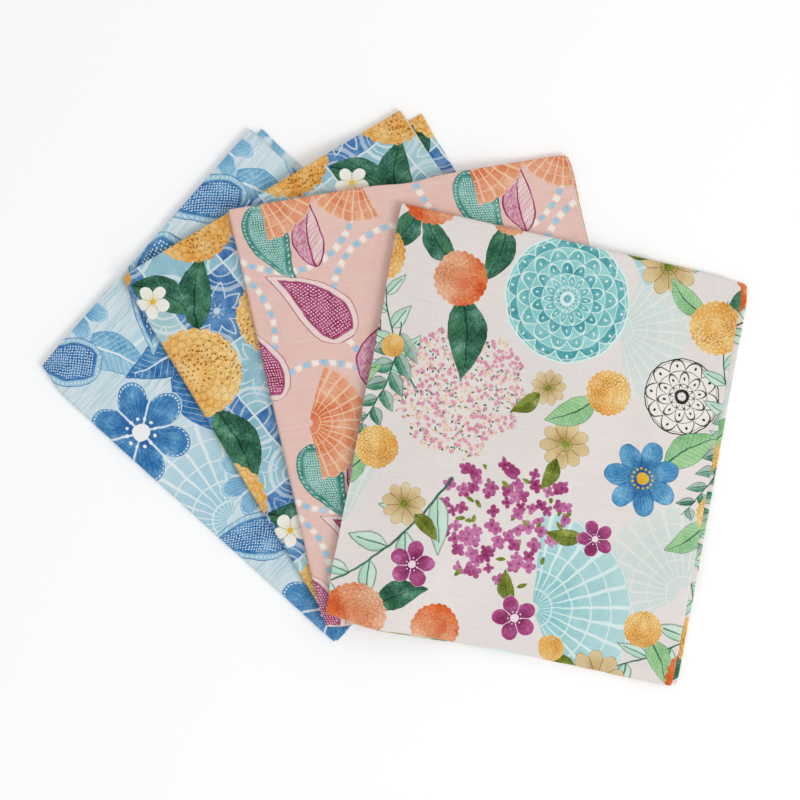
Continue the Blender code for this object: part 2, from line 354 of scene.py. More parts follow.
def distance_outside(outline, points):
    """How far points lie outside a four-sided outline, and 0 inside it."""
    edges = np.roll(outline, -1, axis=0) - outline
    away = points[..., None, :] - outline
    share = np.clip((away * edges).sum(-1) / (edges**2).sum(-1), 0.0, 1.0)
    distance = np.linalg.norm(away - share[..., None] * edges, axis=-1).min(-1)
    turns = edges[:, 0] * away[..., 1] - edges[:, 1] * away[..., 0]
    inside = np.all(turns >= 0, axis=-1) | np.all(turns <= 0, axis=-1)
    return np.where(inside, 0.0, distance)


def draped_height(points, plans_below):
    """How high a cloth lies over the ones below: on them, and sloping down past their edges."""
    height = np.zeros(points.shape[:-1])
    for plan in plans_below:
        past_edge = distance_outside(plan.outline(), points) - EDGE_CLEARANCE
        carried = 1.0 - smooth(past_edge / SLOPE_LENGTH)
        height += (CLOTH_STEP + plan.loft(points)) * carried
    return height


def sheet_side(plan, plans_below, printed):
    """One side of the folded sheet: its points, and where each is on the flat cut.

    Rows run up an outer leaf, round the hairpin and back down the inner leaf. Columns run
    over the upper pair, round the second fold and under the lower pair.
    """
    top, second, third, bottom = (plan.leaf_places(number) for number in range(4))
    radius = (LEAF_PITCH + (SHEET if printed else -SHEET)) / 2
    turns = np.linspace(0.0, np.pi, HAIRPIN_STEPS + 1)[1:-1]
    count = len(plan.along)
    line = [*range(count), *[count - 1] * len(turns), *reversed(range(count))]
    turn = np.array([*[0.0] * count, *turns, *[np.pi] * count])[:, None]
    on_inner = (1 - np.cos(turn)) / 2
    pairs = []
    for outer, inner, middle, way in (
        (top, second, SHEET / 2 + 2.5 * LEAF_PITCH, 1),
        (bottom, third, SHEET / 2 + 0.5 * LEAF_PITCH, -1),
    ):
        place = mix(outer[line], inner[line], on_inner[..., None])
        rise = np.broadcast_to(middle + way * radius * np.cos(turn), place.shape[:2])
        pairs.append((place, rise))
    (upper, upper_rise), (lower, lower_rise) = pairs

    fold_turns = np.linspace(0.0, np.pi, FOLD_STEPS + 1)[1:-1]
    on_lower = (1 - np.cos(fold_turns)) / 2
    around = mix(upper[:, :1], lower[:, :1], on_lower[:, None])
    half_rise = (upper_rise[:, :1] - lower_rise[:, :1]) / 2
    middle_rise = (upper_rise[:, :1] + lower_rise[:, :1]) / 2
    straight = np.zeros(upper_rise.shape)
    place = np.concatenate([upper[:, ::-1], around, lower], axis=1)
    rise = np.concatenate(
        [upper_rise[:, ::-1], middle_rise + half_rise * np.cos(fold_turns), lower_rise], axis=1
    )
    past_fold = np.concatenate([straight, half_rise * np.sin(fold_turns), straight], axis=1)
    past_hairpin = radius * np.sin(turn) * np.ones(rise.shape)

    flat = plan.on_table(place[..., :1] / plan.length, place[..., 1:] / plan.width)
    flat = plan.softened(flat)
    height = draped_height(flat, plans_below)
    height += rise * (1.0 + plan.loft(flat) / THICKNESS)
    flat = flat + past_hairpin[..., None] * plan.past_hairpin + past_fold[..., None] * plan.past_fold
    points = np.concatenate([flat, height[..., None]], axis=-1)

    fold_turn = np.array([*[0.0] * len(plan.across), *fold_turns, *[np.pi] * len(plan.across)])
    from_fold = (np.pi / 2 - fold_turn) * FOLD_BULGE
    from_fold = from_fold + (place[..., 1] - FOLD_BULGE) * np.sign(from_fold)
    from_end = np.where(
        turn < np.pi / 2, place[..., 0], 2 * plan.along[-1] - place[..., 0]
    ) + turn * LEAF_PITCH / 2
    if plan.quarter.print_across:
        return points, np.stack([from_end, -from_fold], axis=-1)
    return points, np.stack([from_fold, from_end], axis=-1)


def sheet_faces(rows, columns):
    """The closed sheet's faces: the printed side, the reverse, and the raw edge all round."""
    number = np.arange(2 * rows * columns).reshape(2, rows, columns)
    sides = [
        np.stack([side[:-1, :-1], side[:-1, 1:], side[1:, 1:], side[1:, :-1]], axis=-1)
        for side in number
    ]
    printed, reverse = (side.reshape(-1, 4) for side in sides)
    rim = np.concatenate(
        [
            np.stack([number[:, 0, :-1], number[:, 0, 1:]], axis=-1),
            np.stack([number[:, :-1, -1], number[:, 1:, -1]], axis=-1),
            np.stack([number[:, -1, 1:], number[:, -1, :-1]], axis=-1),
            np.stack([number[:, 1:, 0], number[:, :-1, 0]], axis=-1),
        ],
        axis=1,
    )
    edge = np.stack([rim[0, :, 0], rim[1, :, 0], rim[1, :, 1], rim[0, :, 1]], axis=-1)
    return printed, reverse[:, ::-1], edge


def add_cloth(plan, plans_below, printed_cotton, reverse_cotton):
    """One folded cloth as an object of its own, in metres."""
    quarter = plan.quarter
    printed_points, places = sheet_side(plan, plans_below, True)
    reverse_points, _ = sheet_side(plan, plans_below, False)
    printed, reverse, edge = sheet_faces(*places.shape[:2])
    points = np.concatenate([printed_points, reverse_points]).reshape(-1, 3) * MILLIMETRE
    faces = np.concatenate([printed, reverse, edge])
    mesh = bpy.data.meshes.new(f"{quarter.node}_folded")
    mesh.from_pydata(points.tolist(), [], faces.tolist())
    if printed_volume(points, faces) < 0:
        mesh.flip_normals()

    cut_place = mesh.uv_layers.new(name="cut_place")
    corner = np.empty(len(mesh.loops), dtype=int)
    mesh.loops.foreach_get("vertex_index", corner)
    flat = np.tile(places.reshape(-1, 2), (2, 1)) * MILLIMETRE
    cut_place.data.foreach_set("uv", flat[corner].ravel())

    mesh.materials.append(printed_cotton)
    mesh.materials.append(reverse_cotton)
    side = np.repeat([0, 1, 1], [len(printed), len(reverse), len(edge)])
    mesh.polygons.foreach_set("material_index", side)
    mesh.shade_smooth()
    mesh.set_sharp_from_angle(angle=SHARP_ANGLE)
    cloth = bpy.data.objects.new(f"{quarter.node}_cloth", mesh)
    bpy.context.collection.objects.link(cloth)
    return cloth


def printed_volume(points, faces):
    """The volume that the faces enclose, negative where they face inwards."""
    a, b, c, d = (points[faces[:, corner]] for corner in range(4))
    return ((a * np.cross(b, c)).sum() + (a * np.cross(c, d)).sum()) / 6


def ink(code):
    """A print colour from its six-digit code."""
    shares = [int(code[place : place + 2], 16) / 255 for place in (0, 2, 4)]
    linear = [s / 12.92 if s <= 0.04045 else ((s + 0.055) / 1.055) ** 2.4 for s in shares]
    return (*linear, 1.0)


def feed(tree, socket, value):
    """Gives a socket a field, another socket's output or a plain value."""
    if isinstance(value, Field):
        value = value.socket
    if isinstance(value, bpy.types.NodeSocket):
        tree.links.new(value, socket)
    else:
        socket.default_value = value


def feed_named(tree, node, **values):
    """Feeds the inputs of a node that are named, with _ for a space."""
    for label, value in values.items():
        feed(tree, node.inputs[label.replace("_", " ")], value)


def add_node(tree, kind, settings=None, **values):
    """A new node with its settings, and with its named inputs fed."""
    node = tree.nodes.new(kind)
    for name, value in (settings or {}).items():
        setattr(node, name, value)
    feed_named(tree, node, **values)
    return node


def laid_over(tree, under, mask, colour):
    """A colour, covered by another where the mask is 1."""
    node = add_node(tree, "ShaderNodeMix", {"data_type": "RGBA"})
    for number, value in ((0, mask), (6, under), (7, colour)):
        feed(tree, node.inputs[number], value)
    return node.outputs[2]


class Field:
    """A number that changes over the cloth, worked out by the nodes of one tree."""

    def __init__(self, tree, socket):
        self.tree = tree
        self.socket = socket

    def math(self, operation, *others, clamp=False):
        node = self.tree.nodes.new("ShaderNodeMath")
        node.operation = operation
        node.use_clamp = clamp
        for socket, value in zip(node.inputs, (self, *others)):
            feed(self.tree, socket, value)
        return Field(self.tree, node.outputs[0])

    def __add__(self, other):
        return self.math("ADD", other)

    __radd__ = __add__

    def __sub__(self, other):
        return self.math("SUBTRACT", other)

    def __rsub__(self, other):
        return self.math("MULTIPLY_ADD", -1.0, other)

    def __mul__(self, other):
        return self.math("MULTIPLY", other)

    __rmul__ = __mul__

    def __truediv__(self, other):
        return self.math("DIVIDE", other)

    def __pow__(self, other):
        return self.math("POWER", other)

    def __abs__(self):
        return self.math("ABSOLUTE")

    def least(self, other):
        return self.math("MINIMUM", other)

    def most(self, other):
        return self.math("MAXIMUM", other)

    def above(self, other):
        return self.math("GREATER_THAN", other)

    def sine(self):
        return self.math("SINE")

    def root(self):
        return self.math("SQRT")

    def floor(self):
        return self.math("FLOOR")

    def clamped(self):
        """The field, kept between 0 and 1."""
        return self.math("ADD", 0.0, clamp=True)

    def part(self):
        """What is left over above the whole number."""
        return self.math("FRACT")

    def folded(self):
        """How far it is from the nearest whole number, at most a half, with its sign."""
        return (self + 0.5).part() - 0.5

    def filled(self, softness=EDGE_SOFTNESS):
        """1 where the field is above 0 and 0 where it is below, with a crisp printed edge."""
        return self.math("MULTIPLY_ADD", 1.0 / softness, 0.5, clamp=True)

    def line(self, half_width):
        """1 on the thin line where the field is 0."""
        return (half_width - abs(self)).filled()


class Drawing:
    """A node group while it is drawn. Its nodes are added in the order they are worked out."""

    def __init__(self, name, inputs, outputs=("Colour",)):
        self.tree = bpy.data.node_groups.new(name, "ShaderNodeTree")
        kinds = {float: "NodeSocketFloat", 3: "NodeSocketVector", 4: "NodeSocketColor"}
        for label, value in inputs.items():
            kind = kinds[float if isinstance(value, float) else len(value)]
            socket = self.tree.interface.new_socket(label, in_out="INPUT", socket_type=kind)
            socket.default_value = value
        for label in outputs:
            kind = "NodeSocketColor" if label == "Colour" else "NodeSocketFloat"
            kind = "NodeSocketVector" if label == "Place" else kind
            self.tree.interface.new_socket(label, in_out="OUTPUT", socket_type=kind)
        self.entry = self.tree.nodes.new("NodeGroupInput")
        self.inputs = inputs

    def __getitem__(self, label):
        socket = self.entry.outputs[label]
        return Field(self.tree, socket) if isinstance(self.inputs[label], float) else socket

    def node(self, kind, settings=None, **values):
        return add_node(self.tree, kind, settings, **values)

    def vector(self, operation, *values):
        """A vector worked out from others."""
        node = self.node("ShaderNodeVectorMath", {"operation": operation})
        for socket, value in zip(node.inputs, values):
            feed(self.tree, socket, value)
        return node.outputs[0]

    def split(self, vector):
        """The X and Y of a place."""
        node = self.node("ShaderNodeSeparateXYZ", Vector=vector)
        return Field(self.tree, node.outputs["X"]), Field(self.tree, node.outputs["Y"])

    def join(self, x, y):
        """A place from its X and Y."""
        return self.node("ShaderNodeCombineXYZ", X=x, Y=y).outputs["Vector"]

    def polar(self, x, y):
        """How far out a place is, and its turn about the middle as a share of a circle."""
        length = (x * x + y * y).root()
        turn = y.math("ARCTAN2", x) / FULL_TURN
        return length, turn

    def lay(self, under, mask, colour):
        """A colour, or an input's label, covered by another where the mask is 1."""
        under, colour = (self[ink] if isinstance(ink, str) else ink for ink in (under, colour))
        return laid_over(self.tree, under, mask, colour)

    def clouds(self, place, scale, detail=2.0):
        """The outputs of a soft cloudy texture."""
        flat = {"noise_dimensions": "2D"}
        node = self.node("ShaderNodeTexNoise", flat, Vector=place, Scale=scale, Detail=detail)
        return node.outputs

    def noise(self, place, scale, detail=2.0):
        """Soft cloudy values round a half."""
        return Field(self.tree, self.clouds(place, scale, detail)[0])

    def spots(self, place, scale, randomness=1.0):
        """The distance to the nearest of scattered spots, its own random share and place."""
        flat, spread = {"voronoi_dimensions": "2D"}, {"Scale": scale, "Randomness": randomness}
        node = self.node("ShaderNodeTexVoronoi", flat, Vector=place, **spread)
        chance = self.node("ShaderNodeSeparateColor", Color=node.outputs["Color"])
        shares = [Field(self.tree, chance.outputs[number]) for number in (0, 1)]
        return Field(self.tree, node.outputs["Distance"]), shares, node.outputs["Position"]

    def use(self, drawing, **values):
        """Places a finished group, and gives its first output."""
        return self.node("ShaderNodeGroup", {"node_tree": drawing.tree}, **values).outputs[0]

    def finish(self, *results):
        """Ends the group with its outputs."""
        leave = self.tree.nodes.new("NodeGroupOutput")
        for socket, result in zip(leave.inputs, results):
            feed(self.tree, socket, result)
        return self


def ground(name, inks, **inputs):
    """A ground with its inks while it is drawn, and the X and Y in it."""
    inputs = {label.replace("_", " "): value for label, value in inputs.items()}
    drawing = Drawing(name, {"Place": ORIGIN, **dict.fromkeys(inks.split(), WHITE), **inputs})
    return drawing, *drawing.split(drawing["Place"])


def motif(name, inks, **numbers):
    """The same for a motif, which is drawn over what is under it and has its own numbers."""
    return ground(name, f"Under {inks}", **numbers)


def draw_motif_place():
    """Where a place on the cut lies within a motif that repeats over the cloth.

    The colour printed before it comes in too, with next to no effect, so that a renderer
    works the motifs out one at a time and has room for them.
    """
    places = {"Cut": ORIGIN, "After": WHITE, "Centre": ORIGIN, "Repeat": (200.0, 200.0, 2.0)}
    drawing = Drawing("Motif place", {**places, "Turn": 0.0, "Size": 10.0}, ("Place",))
    in_turn = drawing.vector(
        "MULTIPLY_ADD", drawing["After"], (NEXT_TO_NOTHING,) * 3, drawing["Cut"]
    )
    away = drawing.vector("SUBTRACT", in_turn, drawing["Centre"])
    halves = (drawing.vector("MULTIPLY", drawing["Repeat"], (half,) * 3) for half in (0.5, -0.5))
    wrapped = drawing.vector("WRAP", away, *halves)
    back, upright = drawing["Turn"] * -1.0, {"rotation_type": "Z_AXIS"}
    turned = drawing.node("ShaderNodeVectorRotate", upright, Vector=wrapped, Angle=back)
    scaled = drawing.node(
        "ShaderNodeVectorMath", SCALED, Vector=turned.outputs[0], Scale=drawing["Size"] ** -1.0
    )
    return drawing.finish(scaled.outputs[0])


def draw_nearer():
    """Of two places, the one that is nearer to the middle of its motif."""
    drawing = Drawing("Nearer place", {"First": ORIGIN, "Second": ORIGIN}, ("Place",))
    far = [
        drawing.node("ShaderNodeVectorMath", {"operation": "LENGTH"}, Vector=drawing[label])
        for label in ("First", "Second")
    ]
    first_far, second_far = (Field(drawing.tree, node.outputs["Value"]) for node in far)
    chosen = drawing.node("ShaderNodeMix", {"data_type": "VECTOR"})
    choices = ((0, first_far.above(second_far)), (4, drawing["First"]), (5, drawing["Second"]))
    for number, value in choices:
        feed(drawing.tree, chosen.inputs[number], value)
    return drawing.finish(chosen.outputs[1])


def draw_wobble():
    """Where a place on the cut falls in a print that an unsteady hand drew."""
    drawing = Drawing("Hand wobble", {"Cut": ORIGIN, "Spacing": 13.0, "Reach": 2.4}, ("Place",))
    values = drawing.clouds(drawing["Cut"], drawing["Spacing"] ** -1.0)
    centred = drawing.vector("SUBTRACT", values["Color"], (0.5, 0.5, 0.5))
    reach = drawing.join(drawing["Reach"], drawing["Reach"])
    return drawing.finish(drawing.vector("MULTIPLY_ADD", centred, reach, drawing["Cut"]))


def draw_uneven_ink():
    """Ink laid on unevenly, which shows in the strong colours and not in the pale ones."""
    drawing = Drawing("Uneven ink", {"Cut": ORIGIN, "Ink": WHITE, "Unevenness": 1.9})
    pools = drawing.noise(drawing["Cut"], 0.085, 3.0) * 0.7
    pools = pools + drawing.noise(drawing["Cut"], 0.6, 1.0) * 0.3
    shares = drawing.node("ShaderNodeSeparateColor", Color=drawing["Ink"])
    red, green, blue = (Field(drawing.tree, share) for share in shares.outputs)
    strength = (1.2 - red.least(green).least(blue) * 2.1).clamped()
    gamma = (pools - 0.5) * strength * drawing["Unevenness"] + 1.0
    uneven = drawing.node("ShaderNodeGamma", Color=drawing["Ink"], Gamma=gamma)
    return drawing.finish(uneven.outputs["Color"])


def draw_leaf():
    """One broad leaf from its stalk at the left to its tip at the right."""
    drawing, x, y = motif("Leaf", "Leaf Shade Vein Outline", Fullness=0.22, Bend=0.08, Line=0.004)
    span = (1.0 - x * x * 4.0).most(0.0)
    side = y - span * drawing["Bend"]
    depth = drawing["Fullness"] * span * (1.0 - x * 0.7) - abs(side)
    depth = depth.least(0.49 - abs(x))
    stroke = drawing.join(x * 7.0 - abs(side) * 9.0, side * 34.0 + x * 20.0)
    streaks = drawing.noise(stroke, 1.0, 1.0)
    shade = (side.filled(0.1) * 0.5 + streaks * 1.5 - 0.5).clamped()
    colour = drawing.lay("Leaf", shade, "Shade")
    rib = (x * 13.0 - abs(side) * 11.0).folded()
    ribs = (0.055 - abs(rib)).filled(0.05) * (depth - 0.012).filled()
    colour = drawing.lay(colour, ribs * 0.55, "Vein")
    midrib = (0.011 - x * 0.012 - abs(side)).filled() * (0.40 - x).filled(0.02)
    colour = drawing.lay(colour, midrib, "Vein")
    colour = drawing.lay("Under", depth.filled(), colour)
    outline = (drawing["Line"] - abs(depth)).filled() * (0.49 - abs(x)).filled()
    colour = drawing.lay(colour, outline, "Outline")
    return drawing.finish(colour)


def draw_sprig():
    """A stem along X with leaves by turns on either side."""
    drawing, x, y = motif(
        "Sprig", "Leaf Vein Outline", Leaves=5.0, Leaf_length=0.24, Fullness=0.24, Bend=0.1
    )
    lean = 0.8
    side = y - (1.0 - x * x * 4.0) * drawing["Bend"]
    stagger = side.above(0.0) * 0.5
    out = abs(side)
    number = ((x - out * lean) * drawing["Leaves"] + stagger).floor()
    base = (number + 0.5 - stagger) / drawing["Leaves"]
    size = drawing["Leaf length"] * (1.0 - (base + 0.5) * 0.55)
    reach = np.hypot(lean, 1.0)
    onward = x - base
    along = (onward * lean + out) / size / reach
    across = (out * lean - onward) / size / reach
    half_width = drawing["Fullness"] * along * (1.0 - along) * (1.5 - along) * 3.4
    depth = (half_width - abs(across)) * size
    grown = (0.43 - abs(base)).filled() * (0.5 - abs(along - 0.5)).filled(0.01)
    inside = depth.filled() * grown
    pale = (across * 4.0 + 0.6).clamped()
    wash = drawing.lay("Leaf", pale * 0.35, WHITE)
    colour = drawing.lay("Under", inside, wash)
    midrib = (0.0028 - abs(across) * size).filled(0.004) * (0.78 - along).filled(0.02) * grown
    colour = drawing.lay(colour, midrib, "Vein")
    outline = depth.line(0.0022) * grown
    colour = drawing.lay(colour, outline, "Outline")
    stem = (0.0045 - x * 0.003 - abs(side)).filled(0.004) * (0.5 - abs(x)).filled()
    colour = drawing.lay(colour, stem, "Vein")
    return drawing.finish(colour)


def draw_blossom():
    """An open flower of equal petals with a dotted heart."""
    drawing, x, y = motif(
        "Blossom", "Petal Deep Heart Outline", Petals=5.0, Notch=0.22, Line=0.008, Beading=0.0
    )
    out, turn = drawing.polar(x, y)
    beside = (turn * drawing["Petals"]).folded()
    rim = 0.5 - drawing["Notch"] * beside * beside * 4.0
    depth = rim - out
    apart = (0.5 - abs(beside)) * out * FULL_TURN / drawing["Petals"]
    streaks = (beside * 46.0).sine() * 0.22
    deep = (1.05 - out * 2.6 + streaks).clamped()
    colour = drawing.lay("Petal", deep, "Deep")
    border = (drawing["Line"] - depth.least(apart)).filled()
    stitch = (0.25 - abs((turn * drawing["Petals"] * 15.0).folded())).filled(0.2)
    stitches = stitch * (depth - 0.034).line(0.009) * (apart - 0.03).filled()
    border = border.most(stitches * drawing["Beading"])
    colour = drawing.lay(colour, border, "Outline")
    heart = (0.085 - out).filled()
    beads = ((beside * 2.0).folded() * out * 3.1 / drawing["Petals"]) ** 2.0
    beads = (0.016 - (beads + (out - 0.135) ** 2.0).root()).filled()
    colour = drawing.lay(colour, heart.most(beads), "Heart")
    colour = drawing.lay("Under", depth.filled(), colour)
    return drawing.finish(colour)


def draw_medallion():
    """A round rosette of petal rings, set between one another."""
    drawing, x, y = motif("Medallion", "First Second Line", Points=12.0, Rings=4.0)
    out, turn = drawing.polar(x, y)
    ring = out * 2.0 * drawing["Rings"]
    number = ring.floor()
    within = ring - number
    beside = (turn * drawing["Points"] + number * 0.5).folded()
    arch = 0.94 - beside * beside * 3.2
    petal = (arch - within).filled(0.06)
    odd = (number * 0.5).part() * 2.0
    colour = drawing.lay("First", petal * (1.0 - odd * 0.45), "Second")
    outline = (0.07 - abs(within - arch)).filled(0.06)
    foot = (0.05 - within).filled(0.06)
    bead = ((beside * beside * number * 2.0) + (within - 0.45) ** 2.0).root()
    bead = (0.13 - bead).filled(0.06)
    colour = drawing.lay(colour, outline.most(foot).most(bead), "Line")
    disc = (0.5 - out).filled()
    colour = drawing.lay("Under", disc, colour)
    rim = (out - 0.494).line(0.007).most((out - 0.468).line(0.003))
    colour = drawing.lay(colour, rim, "Line")
    return drawing.finish(colour)


def draw_paisley():
    """A curved drop with a beaded border and a dotted middle."""
    drawing, x, y = motif("Paisley", "Body Border Dots Outline", Bend=0.5)
    along = (x + 0.5).most(0.0).least(1.0)
    side = y - drawing["Bend"] * along * along * along * 0.7
    depth = along.root() * (1.0 - along) * 0.72 - abs(side)
    depth = depth.least(0.49 - abs(x))
    inside = depth.filled()
    row = (x * 21.0 + abs(side) * 16.0).folded()
    beads = (0.17 - abs(row)).filled(0.1) * (depth - 0.035).line(0.009)
    heart = (depth - 0.075).filled()
    grid = drawing.join(x * 34.0, side * 34.0)
    speck, _, _ = drawing.spots(grid, 1.0, 0.25)
    dots = (0.26 - speck).filled(0.15) * (depth - 0.095).filled()
    colour = drawing.lay("Border", heart, "Body")
    colour = drawing.lay(colour, beads.most(dots), "Dots")
    lines = (depth - 0.07).line(0.004).most(depth.line(0.008))
    colour = drawing.lay(colour, lines, "Outline")
    colour = drawing.lay("Under", inside, colour)
    return drawing.finish(colour)


def draw_fan():
    """A ribbed fan that opens upwards."""
    drawing, x, y = motif("Fan", "Fan Rib", Ribs=12.0, Opening=0.21, Strength=1.0)
    out, turn = drawing.polar(y + 0.45, x)
    beside = (turn * drawing["Ribs"] / drawing["Opening"] * 0.5).folded()
    rim = 0.93 - beside * beside * 0.16
    inside = (rim - out).filled() * (drawing["Opening"] - abs(turn)).filled(0.004)
    inside = inside * (out - 0.06).filled()
    ribs = (abs(beside) - 0.40).filled(0.08)
    arcs = ((out * 5.5).folded()).line(0.045) * 0.8
    colour = drawing.lay("Fan", (out * 0.55).clamped(), "Rib")
    colour = drawing.lay(colour, ribs.most(arcs), "Rib")
    colour = drawing.lay("Under", inside * drawing["Strength"], colour)
    return drawing.finish(colour)


def draw_ditsy():
    """A loose round spray of small blossoms, buds and leaves."""
    drawing, whole_x, whole_y = motif(
        "Ditsy spray", "Petal Deep Leaf Light", Scale=22.0, Fullness=0.9, Petals=5.0
    )
    colour = drawing["Under"]
    for shift, share in ((3.7, 0.75), (0.0, 1.0), (7.3, 0.85)):
        grid_x, grid_y = (whole_x + shift) * drawing["Scale"], whole_y * drawing["Scale"]
        _, (chance, size), spot = drawing.spots(drawing.join(grid_x, grid_y), 1.0)
        spot_x, spot_y = drawing.split(spot)
        far_x, far_y = spot_x / drawing["Scale"] - shift, spot_y / drawing["Scale"]
        ragged = drawing.noise(drawing.join(far_x, far_y), 5.0, 1.0)
        edge = 0.36 + ragged * 0.2 - (far_x * far_x + far_y * far_y).root()
        kept = edge.above(0.0) * (drawing["Fullness"] * share - chance).above(0.0)
        out, turn = drawing.polar(grid_x - spot_x, grid_y - spot_y)
        turn = turn + size * 3.0
        beside = (turn * drawing["Petals"]).folded()
        open_size = size * 0.12 + 0.34
        petals = (open_size - beside * beside * 0.75 - out).filled(0.06)
        is_leaf = (chance * 2.6).part().above(0.68)
        blossom = petals * kept * (1.0 - is_leaf)
        hue = (chance * 7.9).part()
        petal = drawing.lay("Petal", (hue - 0.55).filled(0.1), "Light")
        heart = (0.95 - out * 3.0 / open_size + (beside * 30.0).sine() * 0.15)
        petal = drawing.lay(petal, heart.clamped(), "Deep")
        colour = drawing.lay(colour, blossom, petal)
        leaf = (0.62 - abs(turn.folded()) * 4.6 - out).filled(0.05) * kept * is_leaf
        colour = drawing.lay(colour, leaf, "Leaf")
    return drawing.finish(colour)


def draw_pompom():
    """A round, full flower head of small lapped petals, shaded from one side and speckled."""
    drawing, x, y = motif("Pompom flower", "Light Deep Speckle", Specks=26.0, Petals=22.0, Rings=5.0)
    out, turn = drawing.polar(x, y)
    ring = out * out * 4.0 * drawing["Rings"]
    number = ring.floor()
    beside = (turn * drawing["Petals"] + number * 0.5).folded()
    rim = 0.49 - ((turn * drawing["Petals"] + 0.5).folded() ** 2.0) * 0.11
    depth = rim - out
    lit = (0.55 + (x * 0.8 + y * 0.6) * 1.3 - out * 0.2).clamped()
    colour = drawing.lay("Deep", lit, "Light")
    lap = ring - number - (1.0 - beside * beside * 3.4)
    laps = (0.13 - abs(lap)).filled(0.12) * 0.5 + (lap * 1.4).clamped() * 0.4
    colour = drawing.lay(colour, laps, "Speckle")
    speck, (chance, _), _ = drawing.spots(drawing["Place"], drawing["Specks"])
    crowd = 0.30 - abs(x * 0.55 - y * 0.8 + 0.12 - out * out * 0.6)
    specks = (0.25 - speck).filled(0.12) * (crowd * 3.0 - chance * 0.9).filled(0.1)
    colour = drawing.lay(colour, specks, "Speckle")
    colour = drawing.lay("Under", depth.filled(), colour)
    return drawing.finish(colour)


def draw_mosaic_ring():
    """A ring of small squares in two colours."""
    drawing, x, y = motif("Mosaic ring", "First Second", Squares=36.0)
    out, turn = drawing.polar(x, y)
    step = turn * drawing["Squares"]
    across = 1.05 - abs(out - 0.46) * drawing["Squares"]
    along = (0.37 - abs(step.folded())) * 2.9
    square = across.least(along).filled(0.3)
    other = ((step + 0.5).floor() * 0.5).part() * 2.0
    colour = drawing.lay("First", other, "Second")
    colour = drawing.lay("Under", square, colour)
    return drawing.finish(colour)


def draw_star():
    """A pointed star with a second star and a bead in its middle."""
    drawing, x, y = motif("Star", "First Second Line", Points=8.0)
    out, turn = drawing.polar(x, y)
    beside = abs((turn * drawing["Points"]).folded())
    outer = 0.49 - beside * 0.46 - out
    inner = 0.30 - beside * 0.30 - out
    colour = drawing.lay("First", inner.filled(), "Second")
    lines = inner.line(0.007).most(outer.line(0.009)).most((0.06 - out).filled())
    rays = (beside * out).line(0.004) * (out - 0.22).filled()
    colour = drawing.lay(colour, lines.most(rays), "Line")
    colour = drawing.lay("Under", (outer + 0.009).filled(), colour)
    return drawing.finish(colour)


def draw_tiles():
    """A wall of square tiles in three colours with painted arcs and crosses."""
    drawing, x, y = ground("Tiles", "First Second Third Line")
    across, up = x.floor(), y.floor()
    chance = drawing.node(
        "ShaderNodeTexWhiteNoise", {"noise_dimensions": "2D"}, Vector=drawing.join(across, up)
    )
    chance = Field(drawing.tree, chance.outputs["Value"])
    odd = ((across + up) * 0.5).part() * 2.0
    near_x, near_y = abs((x - 0.5).folded()), abs((y - 0.5).folded())
    wash = drawing.noise(drawing["Place"], 3.0, 3.0)
    colour = drawing.lay("First", odd, "Second")
    colour = drawing.lay(colour, (chance - 0.66).filled(), "Third")
    colour = drawing.lay(colour, wash * 0.12, "Line")
    corner = ((0.5 - near_x) ** 2.0 + (0.5 - near_y) ** 2.0).root()
    middle, turn = drawing.polar(near_x, near_y)
    arcs = (corner - 0.40).line(0.028).most((corner - 0.32).line(0.010))
    petal = (turn * 8.0).folded()
    petals = 0.27 - abs(petal) * 0.42 - abs(middle - 0.16) * 1.1
    painted = petals.line(0.020).most((0.045 - middle).filled())
    curls = (corner - 0.2 + (turn * (4 * FULL_TURN)).sine() * 0.03).line(0.016)
    painted = painted * (chance - 0.15).filled() + arcs.most(curls) * (1.0 - odd * 0.35)
    grout = (near_x.most(near_y) - 0.487).filled(0.01)
    lines = (painted.least(1.0) * 0.8).most(grout)
    colour = drawing.lay(colour, lines, "Line")
    return drawing.finish(colour)


def draw_brushed():
    """A ground with long dry-brush streaks across the cloth."""
    drawing, x, y = ground("Brushed ground", "Ground Streak Light")
    long_streaks = drawing.noise(drawing.join(x * 0.02, y * 0.42), 1.0, 3.0)
    short_streaks = drawing.noise(drawing.join(x * 0.05, y * 1.1 + 9.0), 1.0, 2.0)
    streak = ((long_streaks - 0.53) * 9.0).clamped()
    light = ((short_streaks - 0.55) * 9.0).clamped()
    colour = drawing.lay("Ground", streak * 0.75, "Streak")
    colour = drawing.lay(colour, light * 0.8, "Light")
    return drawing.finish(colour)


def draw_weave():
    """Plain weave: threads over and under one another, with uneven yarn."""
    drawing = Drawing("Plain weave", {"Cut": ORIGIN, "Threads": 2.6}, ("Thread", "Height"))
    x, y = drawing.split(drawing["Cut"])
    x, y = x * drawing["Threads"], y * drawing["Threads"]
    uneven = drawing.noise(drawing.join(x * 0.02, y * 0.9), 1.0, 0.0)
    uneven_too = drawing.noise(drawing.join(x * 0.9, y * 0.02 + 5.0), 1.0, 0.0)
    over = ((x.floor() + y.floor()) * 0.5).part() * 2.0
    warp = (x.part() * np.pi).sine() * (0.55 + (y.part() * np.pi).sine() * (over - 0.5))
    weft = (y.part() * np.pi).sine() * (0.55 - (x.part() * np.pi).sine() * (over - 0.5))
    height = warp.most(weft)
    # Thread mixes the weave's height, which the cotton turns into painted shade between the threads
    # and painted highlight on top, with the yarn's own uneven tone.
    thread = height * 0.5 + (uneven + uneven_too) * 0.5
    return drawing.finish(thread, height + (uneven + uneven_too) * 0.25)


class Stamp(NamedTuple):
    """A motif in one set of inks, and where it is printed."""

    motif: str
    inks: dict
    places: tuple  # X and Y of its middle on the cut, its turn in degrees and its size


class Design(NamedTuple):
    """A cloth's print: its ground and the motifs laid over it, which repeat together."""

    ground: str
    ground_inks: dict
    repeat: tuple  # along X and Y on the cut, and a depth that nothing reaches
    stamps: tuple
    ground_turn: float = 0.0
    ground_size: float = 1.0


